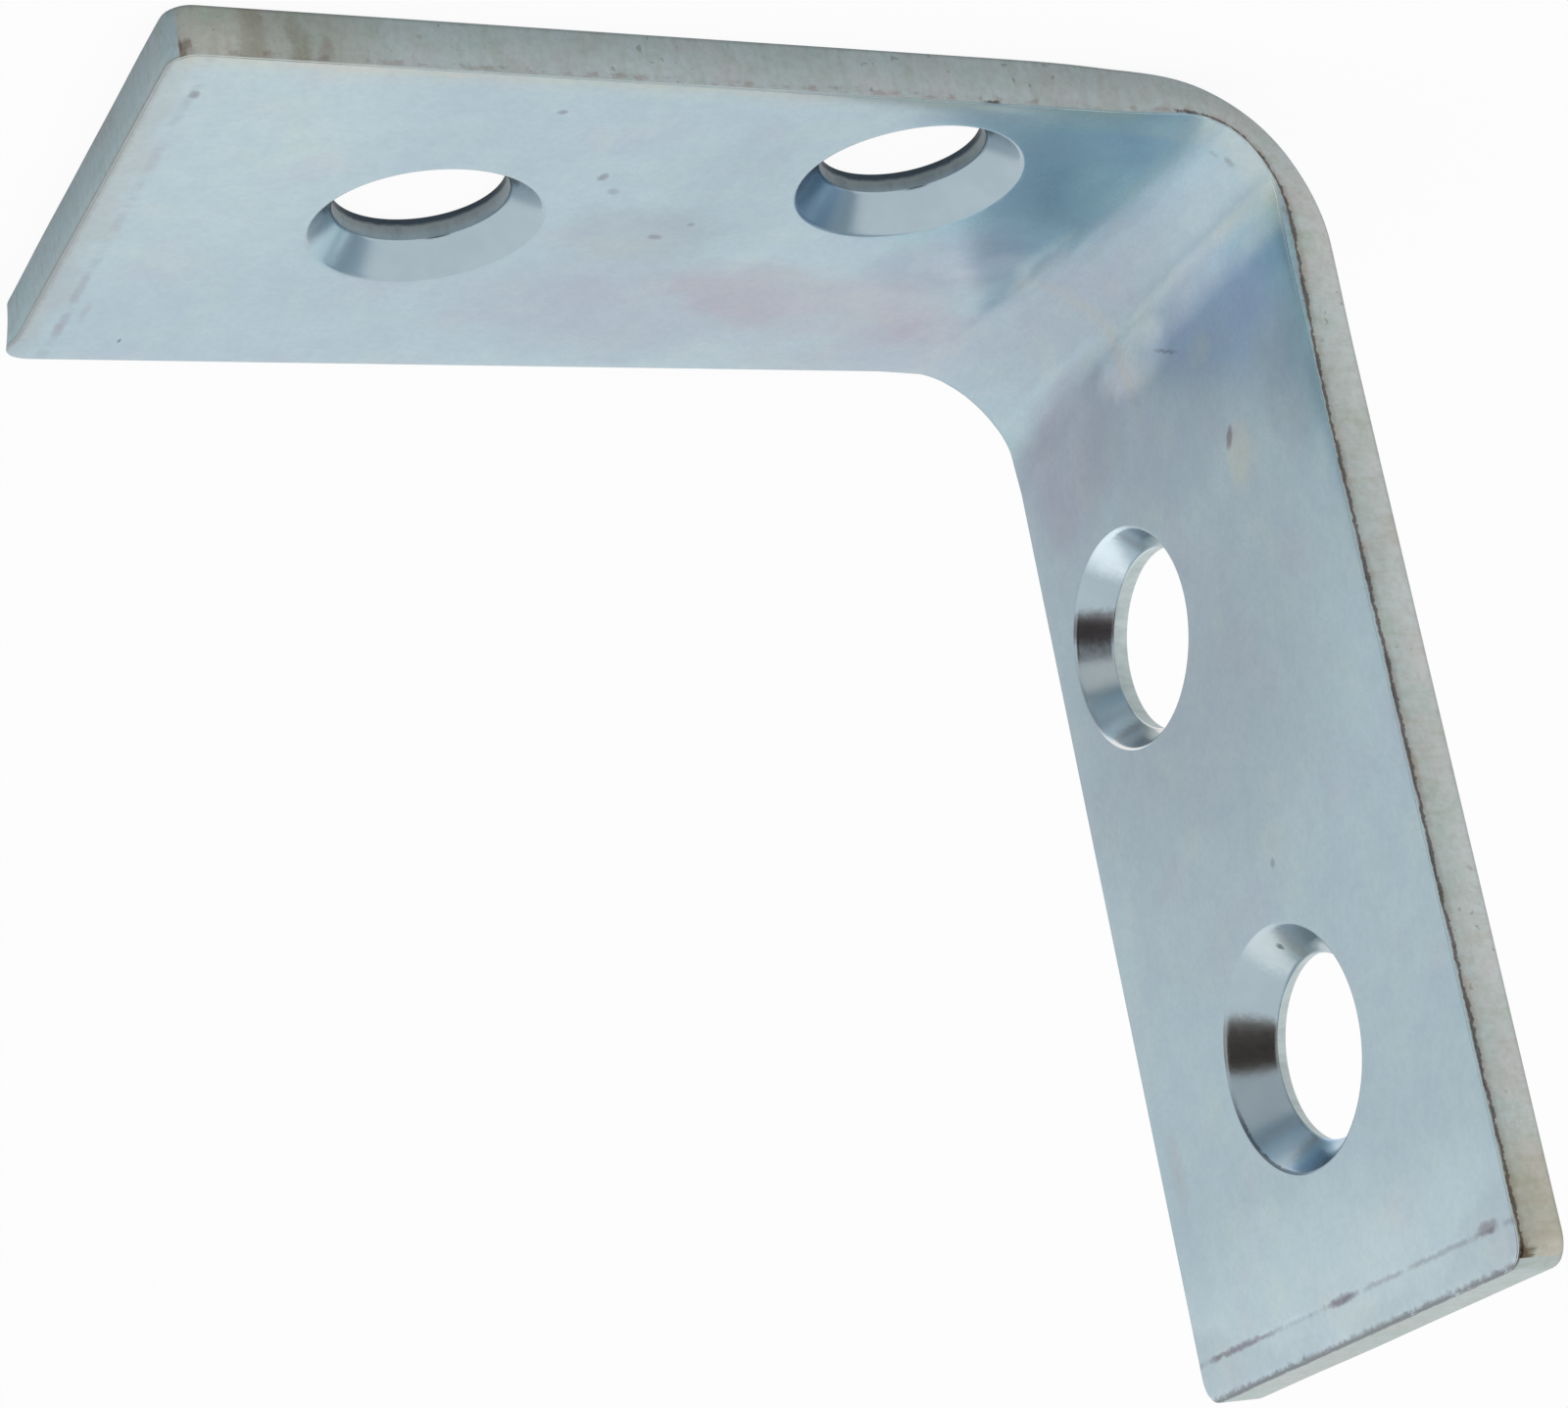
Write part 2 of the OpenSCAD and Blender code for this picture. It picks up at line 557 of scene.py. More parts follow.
wearOptions = {                 # mm
    "bulgeNear": 0.42,          # how far the inner edges of the bend were squeezed out
    "bulgeFar": 0.75,
    "draw": 0.05,               # how far its outer edges were drawn in
    "bulgeReach": 4.0,
    "bulgeSpread": 1.25,        # how far past the ends of the bend this goes, as a share of its length
    "flareFar": 1.05,           # how much wider the foot grew toward its tip, on its far edge
    "flareNear": 0.15,          # and on its near edge
    "flareStart": 7,            # from the heel
    "core": 5,                  # flare and heel leave this much beside the middle as it was
    # unevenness of the heel's outside beside its near edge: direction, how far, where, over what length
    "heelShifts": (("Z", 0.2, -7.5, 3.0), ("Z", -0.1, 1.0, 3.5), ("X", -0.1, 1.0, 3.5),
                   ("X", -0.11, 7.0, 4.0)),
    "tipGrow": 0.17,            # how far the upright's tip was drawn out when it was cropped
    "tipReach": (1.2, 0.2),     # from where, and up to where it grows
    "cornerFlare": 0.45,        # and the foot's far corner, most at its inner face
    "cornerReach": (1.8, 0.2),
    "crack": 0.085,             # depth of the line between the sheared and the broken part of a side
    "crackWidth": 0.1,
    "skin": 0.16,               # what lies nearer to a long edge belongs to its side
    "rollover": 0.07,           # how far the inner faces fall away at their edges
    "rolloverReach": 0.75,
    "rolloverFar": 0.4,         # share of it on the far edge
    "wave": 0.05,               # slow unevenness of the faces
    "waveSize": 7.0,
    "waveEdge": 1.5,            # where it dies away beside the edges
    "dieLine": 0.05,            # depth of the line that the cropping die left near each tip
    "dieWidth": 0.11,
    "dieEnds": (0.9, 1.4),      # it ends this far from the edges
    "footDie": 48.55,           # where it lies, from the heel
    "uprightDie": 50.38,
    "faceDepth": 0.97,          # share of the sheet's thickness past which a point is on the inner face
}

crackOptions = {                # levels as shares of the sheet's thickness
    "upright": 0.885,
    "bend": 0.90,
    "foot": 0.93,
    "start": -8,                # mm along the blank, from where it opens without a break
    "open": 4,                  # and where it has opened fully
    "sag": (0.115, 8, 4),       # how far it sinks behind the bend, where, and over what length
    "least": 0.42,              # how open it stays on the upright
    "footEnd": (0.95, 0.1),     # level and opening on the tips' end faces
    "uprightEnd": (0.965, 0.75),
}


def ramp(value, start, end):
    # 0 before start, 1 past end
    return min(1, max(0, (value - start) / (end - start)))


def crackPlace(along, side):
    # height of the crack in the sheet as a share of its thickness, and how open it is there
    c = crackOptions
    deep, middle, reach = c["sag"]
    sag = deep * math.exp(-((along - middle) / reach) ** 2)
    wander = (0.022 * noise.noise((along * 0.35, side * 9, 2))
              + 0.016 * noise.noise((along * 1.5, side * 5, 7)))
    if along > c["open"]:
        level = c["upright"] - sag
        gape = max(c["least"], 0.75 + 0.5 * noise.noise((along * 0.45, side, 4)))
    elif along > c["start"]:
        level = c["bend"] - sag
        way = ramp(along, c["start"], c["open"])
        gape = 0.12 + 0.8 * way + 1.1 * (1 - way) * noise.noise((along * 1.1, side, 4))
    else:
        level = c["foot"]
        fade = 0.04 * max(0, -along - 16)
        gape = 2.4 * noise.noise((along * 0.7, side, 12)) - 0.35 - fade
    return level + wander, min(max(gape, 0), 1)


def press(piece, places, name, direction, depth, weightOf):
    # moves points by up to depth mm, each by its weight
    least = 0.002
    group = piece.vertex_groups.new(name=name)
    for i, place in enumerate(places):
        weight = weightOf(*place)
        if weight > least:
            group.add([i], min(weight, 1), "REPLACE")
    applyModifier(piece, "DISPLACE", {"direction": direction, "strength": depth * mm,
                                      "mid_level": 0, "vertex_group": group.name})
    piece.vertex_groups.remove(piece.vertex_groups[name])


def bendShare(along, depth):
    # 1 in the middle of the bend, 0 where the legs are straight
    o = foldOptions
    half = o["outerBend"] + (o["sheet"] + o["innerBend"] - o["outerBend"]) * depth / o["sheet"]
    return math.cos(math.pi / 2 * min(abs(along) / half / wearOptions["bulgeSpread"], 1))


def wearStrip(piece, places):
    o, w = foldOptions, wearOptions
    half, footTip, uprightTip = stripSizes()
    face = o["sheet"] * w["faceDepth"]

    # each weight takes a place on the blank; heelPlace, heelReach and side come from the loops below
    def edgeShare(across, reach):
        return max(0, 1 - (half - abs(across)) / reach) ** 2

    def swell(along, across, depth):
        share = depth / o["sheet"]
        bulge = w["bulgeFar" if across > 0 else "bulgeNear"] * share - w["draw"] * (1 - share)
        return bendShare(along, depth) * edgeShare(across, w["bulgeReach"]) * bulge

    def crackWeight(along, across, depth):
        gap, gape, onTip = splitPlace(along, across, depth)
        if onTip or half - abs(across) >= w["skin"]:
            return 0
        return gape * math.exp(-(gap / w["crackWidth"]) ** 2)

    def rollWeight(along, across, depth):
        if depth < face:
            return 0
        tip = uprightTip - along if along > 0 else footTip + along
        fall = max(0, 1 - tip / w["rolloverReach"]) ** 2
        beside = edgeShare(across, w["rolloverReach"]) * (1 if across < 0 else w["rolloverFar"])
        return max(beside, fall)

    def waveWeight(along, across, depth):
        size = w["waveSize"]
        still = ramp(half - abs(across), 0, w["waveEdge"])
        return still * (0.5 + noise.noise((along / size, across / size, depth * 0.2)))

    def dieWeight(along, across, depth):
        if depth < face:
            return 0
        place, keen = (w["uprightDie"], 1) if along > 0 else (-w["footDie"], 0.5)
        drift = 0.08 * noise.noise((across * 0.3, 3, 1))
        gap = (along - place - drift) / w["dieWidth"]
        patchy = 0.65 + 0.9 * noise.noise((across * 0.8, place, 5))
        ends = ramp(half - abs(across), *w["dieEnds"])
        return keen * ends * max(0, patchy) * math.exp(-gap * gap)

    def heelWeight(along, across, depth):
        outer = ramp(o["sheet"] - depth, 0, o["sheet"]) * ramp(-across, w["core"], half)
        return outer * math.exp(-((along - heelPlace) / heelReach) ** 2)

    def growWeight(along, across, depth):
        return ramp(uprightTip - along, *w["tipReach"])

    def cornerWeight(along, across, depth):
        start, end = w["cornerReach"]
        out = ramp(half - across, start, end) * ramp(footTip + along, start - end, 0)
        return out * max(0, depth / o["sheet"]) ** 1.5

    def flareWeight(along, across, depth):
        return ramp(-along, w["flareStart"], footTip) * ramp(across * side, w["core"], half)

    def onSide(weightOf):
        return lambda along, across, depth: weightOf(along, across, depth) if across * side > 0 else 0

    for direction, shift, heelPlace, heelReach in w["heelShifts"]:
        press(piece, places, "heel", direction, shift, heelWeight)
    press(piece, places, "tipGrow", "Z", w["tipGrow"], growWeight)
    press(piece, places, "cornerFlare", "X", w["cornerFlare"], cornerWeight)
    for side, flare in ((-1, "flareNear"), (1, "flareFar")):
        press(piece, places, "flare", "Y", side * w[flare], flareWeight)
        press(piece, places, "bulge", "Y", side, onSide(swell))
        press(piece, places, "draw", "Y", -side, onSide(lambda *place: -swell(*place)))
        press(piece, places, "crack", "Y", -side * w["crack"], onSide(crackWeight))
    press(piece, places, "rollover", "NORMAL", -w["rollover"], rollWeight)
    press(piece, places, "wave", "NORMAL", w["wave"], waveWeight)
    press(piece, places, "dieLine", "NORMAL", -w["dieLine"], dieWeight)


# Finish of the sheet

finishOptions = {
    "zinc": (0.434, 0.552, 0.617),      # share of red, green and blue light that the faces throw back
    "footSide": (0.43, 0.505, 0.51),    # the sheared sides are duller and yellower
    "uprightSide": (0.51, 0.575, 0.565),
    # painted shade: the foot's bore walls darker where the foot lies on the floor
    "footWallShade": (0.27, 0.32, 0.335),
    "uprightWall": (0.50, 0.57, 0.57),
    "sink": (0.405, 0.495, 0.548),
}

# roughness, how much it varies, depth of the fine relief in mm, and its strength
surfaces = {
    "face": (0.25, 0.06, 0.02, 0.12),
    "side": (0.4, 0.12, 0.04, 0.35),
    "sink": (0.19, 0.08, 0.02, 0.15),
    "wall": (0.3, 0.1, 0.03, 0.2),
}

# stains and dull places of the inner faces, together with painted reflections, highlights and shade:
# along, across, half length, half width, turn in degrees, softness, and what the metal's colour is
# multiplied by
faceTints = {
    # painted light: the whole upright face made lighter
    "upright": (29.0, 0.0, 22.5, 26.0, 0, 0.02, (1.09, 1.09, 1.08)),
    # painted sheen near the foot's tip
    "footTip": (-46.5, -6.0, 5.0, 8.0, 0, 0.8, (1.11, 1.08, 1.05)),
    "footTipEdge": (-50.0, 0.0, 0.8, 14.0, 0, 0.8, (0.97, 0.91, 0.87)),
    "pinkFoot": (-14.8, 5.9, 7.0, 2.7, 15, 0.5, (0.99, 0.86, 0.87)),
    "pinkFootEdge": (-24.0, 6.8, 7.0, 3.2, 8, 0.8, (0.95, 0.89, 0.92)),
    "pinkHeel": (-8.6, 9.9, 5.0, 2.8, 0, 0.8, (0.95, 0.88, 0.91)),
    "greyBetween": (-23.0, -3.4, 2.6, 5.0, 0, 0.7, (0.94, 0.94, 0.94)),
    # painted reflections beside the bend: dark teal ones and pale highlights, and painted shade in the
    # bend's middle
    "tealReflectionFoot": (-9.0, -6.5, 5.8, 6.5, 0, 0.8, (0.84, 1.0, 1.03)),
    "paleHighlightFoot": (-8.6, -0.4, 2.2, 2.0, 0, 0.9, (1.25, 1.2, 1.17)),
    "paleHighlightCorner": (-7.2, 2.4, 1.4, 1.5, 0, 0.9, (1.28, 1.22, 1.17)),
    "tealReflectionCorner": (-9.0, -8.6, 2.6, 2.6, 0, 0.9, (0.88, 0.92, 0.95)),
    "bendCentreShade": (0.0, 2.0, 3.4, 7.0, 0, 0.7, (0.89, 0.84, 0.86)),
    "mauveFoot": (-10.4, 1.3, 2.4, 2.4, 0, 0.8, (0.90, 0.80, 0.84)),
    "lessPink": (-13.2, 8.2, 2.2, 1.3, 0, 0.8, (1.02, 1.13, 1.11)),
    "shadeHeel": (11.2, 0.0, 2.8, 4.6, 0, 0.8, (0.88, 0.87, 0.90)),
    "heelEdge": (14.0, -11.2, 2.0, 1.6, 0, 0.8, (0.87, 0.86, 0.89)),
    "greyMiddle": (-26.0, 0.0, 2.6, 1.8, 0, 0.8, (0.92, 0.88, 0.89)),
    # painted reflection: blue on the upright beside the bend
    "blueReflectionHeel": (7.8, -6.9, 2.4, 4.0, 10, 0.8, (0.96, 0.98, 1.12)),
    "greenHeel": (12.0, -12.0, 4.5, 0.9, 0, 0.7, (0.92, 1.0, 0.96)),
    "uprightMauve": (8.4, 7.4, 3.0, 4.0, -25, 0.7, (0.87, 0.80, 0.85)),
    # painted shade on the upright beside the bend, easing to painted light at its tip
    "uprightHeelShade": (17.0, 1.5, 11.0, 13.0, 0, 0.5, (0.87, 0.86, 0.87)),
    "uprightMiddleShade": (26.5, 2.5, 8.0, 8.0, 0, 0.7, (0.95, 0.93, 0.94)),
    "uprightTip": (52.5, 1.0, 5.0, 14.0, 0, 0.7, (1.24, 1.19, 1.16)),
    "staleHeel": (15.2, -6.1, 1.2, 0.8, 30, 0.8, (1.12, 1.03, 0.93)),
    "bendSpot": (9.2, -4.4, 0.8, 0.6, 0, 0.8, (1.14, 1.10, 0.97)),
}

# painted reflections: the bright band along the bend with its two edges, the dark teal reflections
# beside it, and painted highlights along its near edge
bendReflections = {
    "light": (7.1, 0.3, 0.95, 1.9, 0, 1.0, (1.60, 1.46, 1.37)),
    "highlightNear": (5.75, -7.8, 1.15, 5.2, 0, 1.0, (1.76, 1.52, 1.31)),
    "highlightFar": (5.0, 6.5, 1.2, 6.0, 0, 1.0, (1.18, 1.20, 1.18)),
    "lightFoot": (-5.2, 1.4, 0.9, 2.0, 0, 1.0, (1.38, 1.26, 1.18)),
    "tealEdge": (-2.3, -6.5, 0.6, 4.5, 0, 1.0, (0.90, 0.89, 0.91)),
    "tealInner": (-7.0, -7.4, 1.6, 3.8, 0, 1.0, (0.82, 0.86, 0.88)),
    "greyTeal": (-6.5, -11.8, 3.6, 0.7, 0, 1.0, (1.15, 1.06, 0.98)),
    "cream": (2.7, -12.2, 2.6, 0.8, 0, 1.0, (1.12, 1.06, 0.99)),
    "creamRim": (6.4, -11.4, 0.9, 1.2, 0, 1.0, (1.22, 1.09, 1.0)),
}

# small marks, in the same order
faceMarks = {
    "bendLine": (2.2, 2.1, 5.6, 0.34, -6, 1.0, (1.055, 1.0, 0.95)),
    "bendLineTip": (7.2, 1.2, 1.3, 0.5, -30, 1.0, (1.06, 1.01, 0.97)),
    "footBorder": (-50.1, 0.0, 0.24, 12.6, 0, 0.8, (0.86, 0.79, 0.77)),
    "rustEdge": (42.0, 10.9, 1.2, 0.4, 0, 1.0, (1.0, 0.93, 0.92)),
    "pitTip": (-48.4, -9.7, 0.2, 0.14, 80, 1.0, (0.66, 0.60, 0.63)),
    "pitFar": (-45.6, 10.7, 0.07, 0.11, 0, 0.6, (0.45, 0.45, 0.47)),
    "pitNear": (-33.3, -10.0, 0.16, 0.14, 0, 0.6, (0.68, 0.64, 0.64)),
    "scrapeOne": (-29.55, -4.95, 0.16, 0.26, 0, 0.8, (0.66, 0.62, 0.62)),
    "scrapeTwo": (-28.6, -3.8, 0.22, 0.14, 40, 0.9, (0.78, 0.75, 0.75)),
    "pitMiddle": (-25.2, 0.0, 0.24, 0.15, 15, 0.9, (0.72, 0.68, 0.68)),
    "pitMiddleTwo": (-24.0, -1.2, 0.14, 0.12, 0, 0.6, (0.76, 0.72, 0.72)),
    "scratchHeel": (8.05, -2.0, 0.07, 0.75, 27, 0.7, (0.70, 0.67, 0.67)),
    "dotUpright": (13.8, -5.4, 0.42, 0.2, 30, 0.6, (0.62, 0.52, 0.52)),
    "dotUprightTwo": (31.9, -1.6, 0.15, 0.14, 0, 0.8, (0.72, 0.7, 0.7)),
    "bendScratch": (-0.9, -10.9, 0.35, 0.08, 0, 0.8, (0.86, 0.84, 0.82)),
    "bendScratchTwo": (0.5, -11.1, 0.4, 0.12, 0, 0.8, (0.76, 0.74, 0.72)),
    "dieSpotA": (50.4, 10.9, 0.12, 0.35, 0, 0.9, (0.7, 0.64, 0.66)),
    "dieSpotB": (50.35, 8.6, 0.11, 1.5, 0, 0.9, (0.68, 0.62, 0.64)),
    "dieSpotC": (50.4, 0.25, 0.16, 0.8, 0, 0.7, (0.55, 0.48, 0.52)),
    "dieSpotD": (50.25, -10.8, 0.2, 0.5, 0, 0.9, (0.62, 0.54, 0.56)),
    "dieSpotE": (-48.6, 6.3, 0.14, 0.9, 0, 1.0, (0.90, 0.84, 0.85)),
    "dieSpotF": (-48.5, 9.6, 0.16, 0.7, 0, 1.0, (0.88, 0.81, 0.82)),
    "dieSpotG": (-47.8, 8.4, 0.10, 0.6, 0, 1.0, (0.93, 0.88, 0.89)),
}

# the same on the sheared sides: along, depth and so on
sideTints = {
    "footTip": (-47.6, 1.3, 5.0, 2.6, 0, 0.5, (0.90, 0.85, 0.79)),
    "tipLight": (-48.3, 1.1, 0.9, 1.0, 0, 0.9, (1.12, 1.12, 1.08)),
    "tipStreak": (-46.8, 1.3, 0.4, 1.4, 0, 0.9, (0.84, 0.79, 0.72)),
    "tipStreakTwo": (-45.1, 1.6, 0.3, 1.1, 0, 0.9, (0.84, 0.80, 0.76)),
    "tipStreakThree": (-44.1, 1.9, 0.25, 0.6, 0, 0.9, (0.84, 0.79, 0.78)),
    "tipCorner": (-49.9, 2.0, 0.5, 0.5, 0, 0.6, (0.52, 0.44, 0.42)),
    "uprightTip": (50.4, 1.2, 2.6, 2.2, 0, 0.7, (0.92, 0.86, 0.76)),
    "cornerSpot": (51.6, 2.0, 0.4, 0.4, 0, 0.6, (0.35, 0.28, 0.24)),
    "bendDull": (1.0, 1.2, 6.0, 2.5, 0, 0.6, (1.0, 0.98, 0.98)),
}

# and in the cones of the countersinks, in the order of the faces: one pit, and otherwise painted
# reflections and highlights
sinkPitAndReflections = {
    "pit": (34.95, 0.45, 0.08, 0.12, 0, 0.6, (0.4, 0.4, 0.4)),
    "uprightTop": (35.1, 0.6, 1.0, 1.0, 0, 0.8, (1.45, 1.38, 1.3)),
    "uprightPatch": (38.2, 4.4, 1.15, 1.15, 0, 0.35, (0.64, 0.56, 0.50)),
    "heelTop": (14.2, 6.0, 1.0, 1.4, 0, 0.7, (1.9, 1.8, 1.75)),
    "heelPatch": (16.5, 9.6, 0.6, 0.9, 0, 0.6, (0.42, 0.34, 0.33)),
    "heelLow": (22.5, 7.7, 1.4, 1.5, 0, 0.8, (2.6, 2.35, 2.15)),
    "heelTeal": (19.7, 10.0, 1.5, 1.2, 0, 0.8, (1.12, 1.05, 1.0)),
    "footTeal": (-19.0, -3.4, 1.4, 2.4, 0, 0.7, (0.58, 0.70, 0.84)),
    "footLight": (-38.8, 2.9, 0.9, 0.9, 0, 0.8, (1.02, 1.14, 1.14)),
    "uprightTeal": (41.2, 4.6, 1.6, 1.6, 0, 0.7, (0.82, 0.83, 0.84)),
    "uprightBlue": (44.0, 0.9, 0.8, 1.0, 0, 0.8, (1.32, 1.52, 1.75)),
    "uprightDark": (43.7, -2.5, 1.3, 1.3, 0, 0.7, (0.46, 0.60, 0.76)),
    "uprightLow": (43.6, 2.8, 1.0, 1.0, 0, 0.7, (1.34, 1.36, 1.36)),
}
# the darker piece of one rim
sinkRim = (43.6, 3.4, 3.2, 2.6, -40, 0.4, (0.3, 0.3, 0.32))

# soft patches: stretch, size in mm, detail, roughness, shift, from and to where it works, colour factor
faceClouds = {
    "slow": (None, 9.0, 3, 0.5, 0, 0.35, 0.65, (1.03, 1.03, 1.02)),
    "milk": (None, 3.4, 4, 0.6, 52, 0.48, 0.7, (1.05, 1.03, 0.985)),
    "lilac": (None, 4.2, 3, 0.55, 77, 0.5, 0.72, (1.01, 0.96, 0.98)),
    "quick": (None, 1.3, 4, 0.6, 40, 0.3, 0.7, (0.95, 0.96, 0.97)),
    "fine": (None, 0.3, 3, 0.6, 9, 0.35, 0.7, (0.95, 0.95, 0.955)),
}
sideClouds = {
    "slow": (None, 5.0, 3, 0.5, 0, 0.35, 0.65, (1.05, 1.05, 1.06)),
    "streaks": ((3.0, 3.0, 0.5), 1.0, 4, 0.6, 3, 0.4, 0.75, (0.93, 0.91, 0.87)),
    "fine": (None, 0.28, 4, 0.65, 9, 0.35, 0.75, (0.90, 0.89, 0.87)),
    "warm": (None, 2.2, 3, 0.6, 31, 0.45, 0.62, (1.02, 0.965, 0.965)),
    "green": (None, 1.5, 3, 0.6, 57, 0.5, 0.66, (0.94, 0.97, 0.94)),
}
sinkClouds = {
    "slow": (None, 1.6, 3, 0.5, 0, 0.35, 0.65, (0.95, 0.95, 0.96)),
}
# how stains and painted reflections stray from their place: size, detail, roughness, a shift for each
# direction, reach in mm
strays = {
    "tint": (2.6, 3, 0.5, (15, 25), 3.0),
    "bend": (4.0, 2, 0.5, (65,), 1.2),
    "mark": (0.35, 3, 0.7, (35, 45), 0.35),
    "side": (1.1, 4, 0.65, (21,), 1.6),
}
# what the colour is multiplied by in each named part of the faces, the sides and the walls
faceShades = {
    "footDie": (0.78, 0.70, 0.73),
    "uprightDie": (0.76, 0.72, 0.75),
    "uprightEdge": (0.5, 0.46, 0.46),
    # painted sheen and highlight on the foot's near lip
    "footNearSheen": (1.07, 1.02, 0.965),
    "footLipHighlight": (1.07, 1.0, 0.94),
    # painted shade along the far edges
    "farEdgeShade": (0.78, 0.78, 0.78),
}
sideShades = {
    "uprightLow": (1.13, 1.09, 1.10),
    "footLow": (0.90, 0.91, 0.92),
    "uprightHigh": (0.94, 0.96, 0.97),
    "footHigh": (1.07, 1.05, 1.07),
    "specks": (0.74, 0.70, 0.66),
    "border": (0.86, 0.77, 0.75),
    "footEnd": (0.76, 0.85, 0.92),
    "footEndLow": (0.96, 0.92, 0.92),
    "footEndHigh": (1.12, 1.10, 1.08),
    "footEndFar": (1.03, 1.09, 1.10),
    "footEndCorner": (0.84, 0.76, 0.72),
    "footEndBorder": (0.84, 0.76, 0.73),
    "uprightEnd": (0.87, 0.91, 0.92),
    # painted shade along the rolled outer edges of the sides
    "rolledEdgeShade": (0.76, 0.76, 0.76),
    "stain": (1.02, 0.92, 0.88),
    # painted shade in the crack's groove
    "crack": (0.37, 0.33, 0.33),
    "smear": (0.82, 0.78, 0.77),
    "torn": (0.92, 0.98, 1.04),
    "tornHeel": (0.72, 0.84, 0.92),
    "tornBend": (1.14, 1.12, 1.04),
}
wallShades = {
    # painted shade low on the foot's bore walls, next to the floor
    "low": (0.22, 0.25, 0.30),
    "streaks": (0.85, 0.86, 0.88),
}


def inSpot(first, second, spot):
    # 1 inside a turned ellipse, and a soft step to 0 round it
    placeOne, placeTwo, longHalf, wideHalf, turn, soft, factor = spot
    c, s = math.cos(math.radians(turn)), math.sin(math.radians(turn))
    one, two = first - placeOne, second - placeTwo
    u = (one * c + two * s) * (1 / longHalf)
    v = (two * c - one * s) * (1 / wideHalf)
    return 1.0 - (u * u + v * v).between((1 - soft) ** 2, (1 + soft) ** 2)


def startFinish(name):
    material, board = newBoard(name)
    blank = board.node("ShaderNodeAttribute", {"attribute_name": "blank"}, {}, "Vector")
    return material, board, blank, board.parts(blank)


def stray(board, blank, name, *values):
    # the values, moved to and fro so that what follows them gets an uneven border
    size, detail, roughness, shifts, reach = strays[name]
    return [value + (board.cloud(blank, size, detail, roughness, shift) - 0.5) * reach
            for value, shift in zip(values, shifts)]


def layClouds(board, blank, colour, clouds):
    # tints a colour with each cloud in turn, and hands the clouds on by name
    made = {}
    for name, (stretch, size, detail, roughness, shift, low, high, factor) in clouds.items():
        place = board.stretch(blank, stretch) if stretch else blank
        made[name] = board.cloud(place, size, detail, roughness, shift)
        colour = board.tint(colour, made[name].between(low, high), factor)
    return colour, made


def laySpots(board, colour, first, second, spots, mask=1.0):
    for spot in spots.values():
        colour = board.tint(colour, inSpot(first, second, spot) * mask, spot[-1])
    return colour


def layShades(board, colour, masks, shades):
    for name, mask in masks.items():
        colour = board.tint(colour, mask, shades[name])
    return colour


def closeFinish(board, name, colour, patches, height):
    rough, swing, depth, strength = surfaces[name]
    rough = rough + patches * swing
    relief = {"Strength": strength, "Distance": depth * mm, "Height": height}
    bump = board.node("ShaderNodeBump", {}, relief)
    sockets = {"Base Color": colour, "Metallic": 1.0, "Roughness": rough, "Normal": bump}
    shader = board.node("ShaderNodeBsdfPrincipled", {}, sockets)
    board.node("ShaderNodeOutputMaterial", {}, {"Surface": shader})


def zincFace():
    material, board, blank, (along, across, depth) = startFinish("zincFace")
    colour, clouds = layClouds(board, blank, finishOptions["zinc"], faceClouds)
    quick, fine = clouds["quick"], clouds["fine"]
    inner = depth.between(1.0, 1.6)
    alongSoft, acrossSoft = stray(board, blank, "tint", along, across)
    colour = laySpots(board, colour, alongSoft, acrossSoft, faceTints, inner)
    # painted reflections and highlights along the bend
    alongBend, = stray(board, blank, "bend", along)
    colour = laySpots(board, colour, alongBend, acrossSoft, bendReflections, inner)
    place, acrossRough = stray(board, blank, "mark", along, across)
    colour = laySpots(board, colour, place, acrossRough, faceMarks, inner)
    # the die's lines, the upright's edge, a painted sheen and painted highlight along the foot's near
    # lip, and painted shade along the far edges
    patchy = board.cloud(board.stretch(blank, (0.3, 1, 1)), 1.2, 3, 0.6, shift=5)
    onFoot = (1.0 - along.between(-9, -6)) * inner
    footDie, uprightDie = wearOptions["footDie"], wearOptions["uprightDie"]
    masks = {
        "footDie": place.near(-footDie, 0.05, 0.35) * patchy.between(0.42, 0.6) * inner * 0.4,
        "uprightDie": place.near(uprightDie, 0.02, 0.2) * patchy.between(0.35, 0.55) * inner,
        "uprightEdge": ((place + (fine - 0.5) * 0.25).near(52.0, 0.08, 0.3)
                        * patchy.between(0.3, 0.44) * inner),
        "footNearSheen": across.near(-12.4, 0.2, 1.5) * onFoot,
        "footLipHighlight": (across + (quick - 0.5) * 0.4).near(-12.35, 0.1, 0.42) * onFoot,
        "farEdgeShade": across.between(12.3, 12.48),
    }
    colour = layShades(board, colour, masks, faceShades)
    closeFinish(board, "face", colour, quick, quick * 0.5 + fine)
    return material


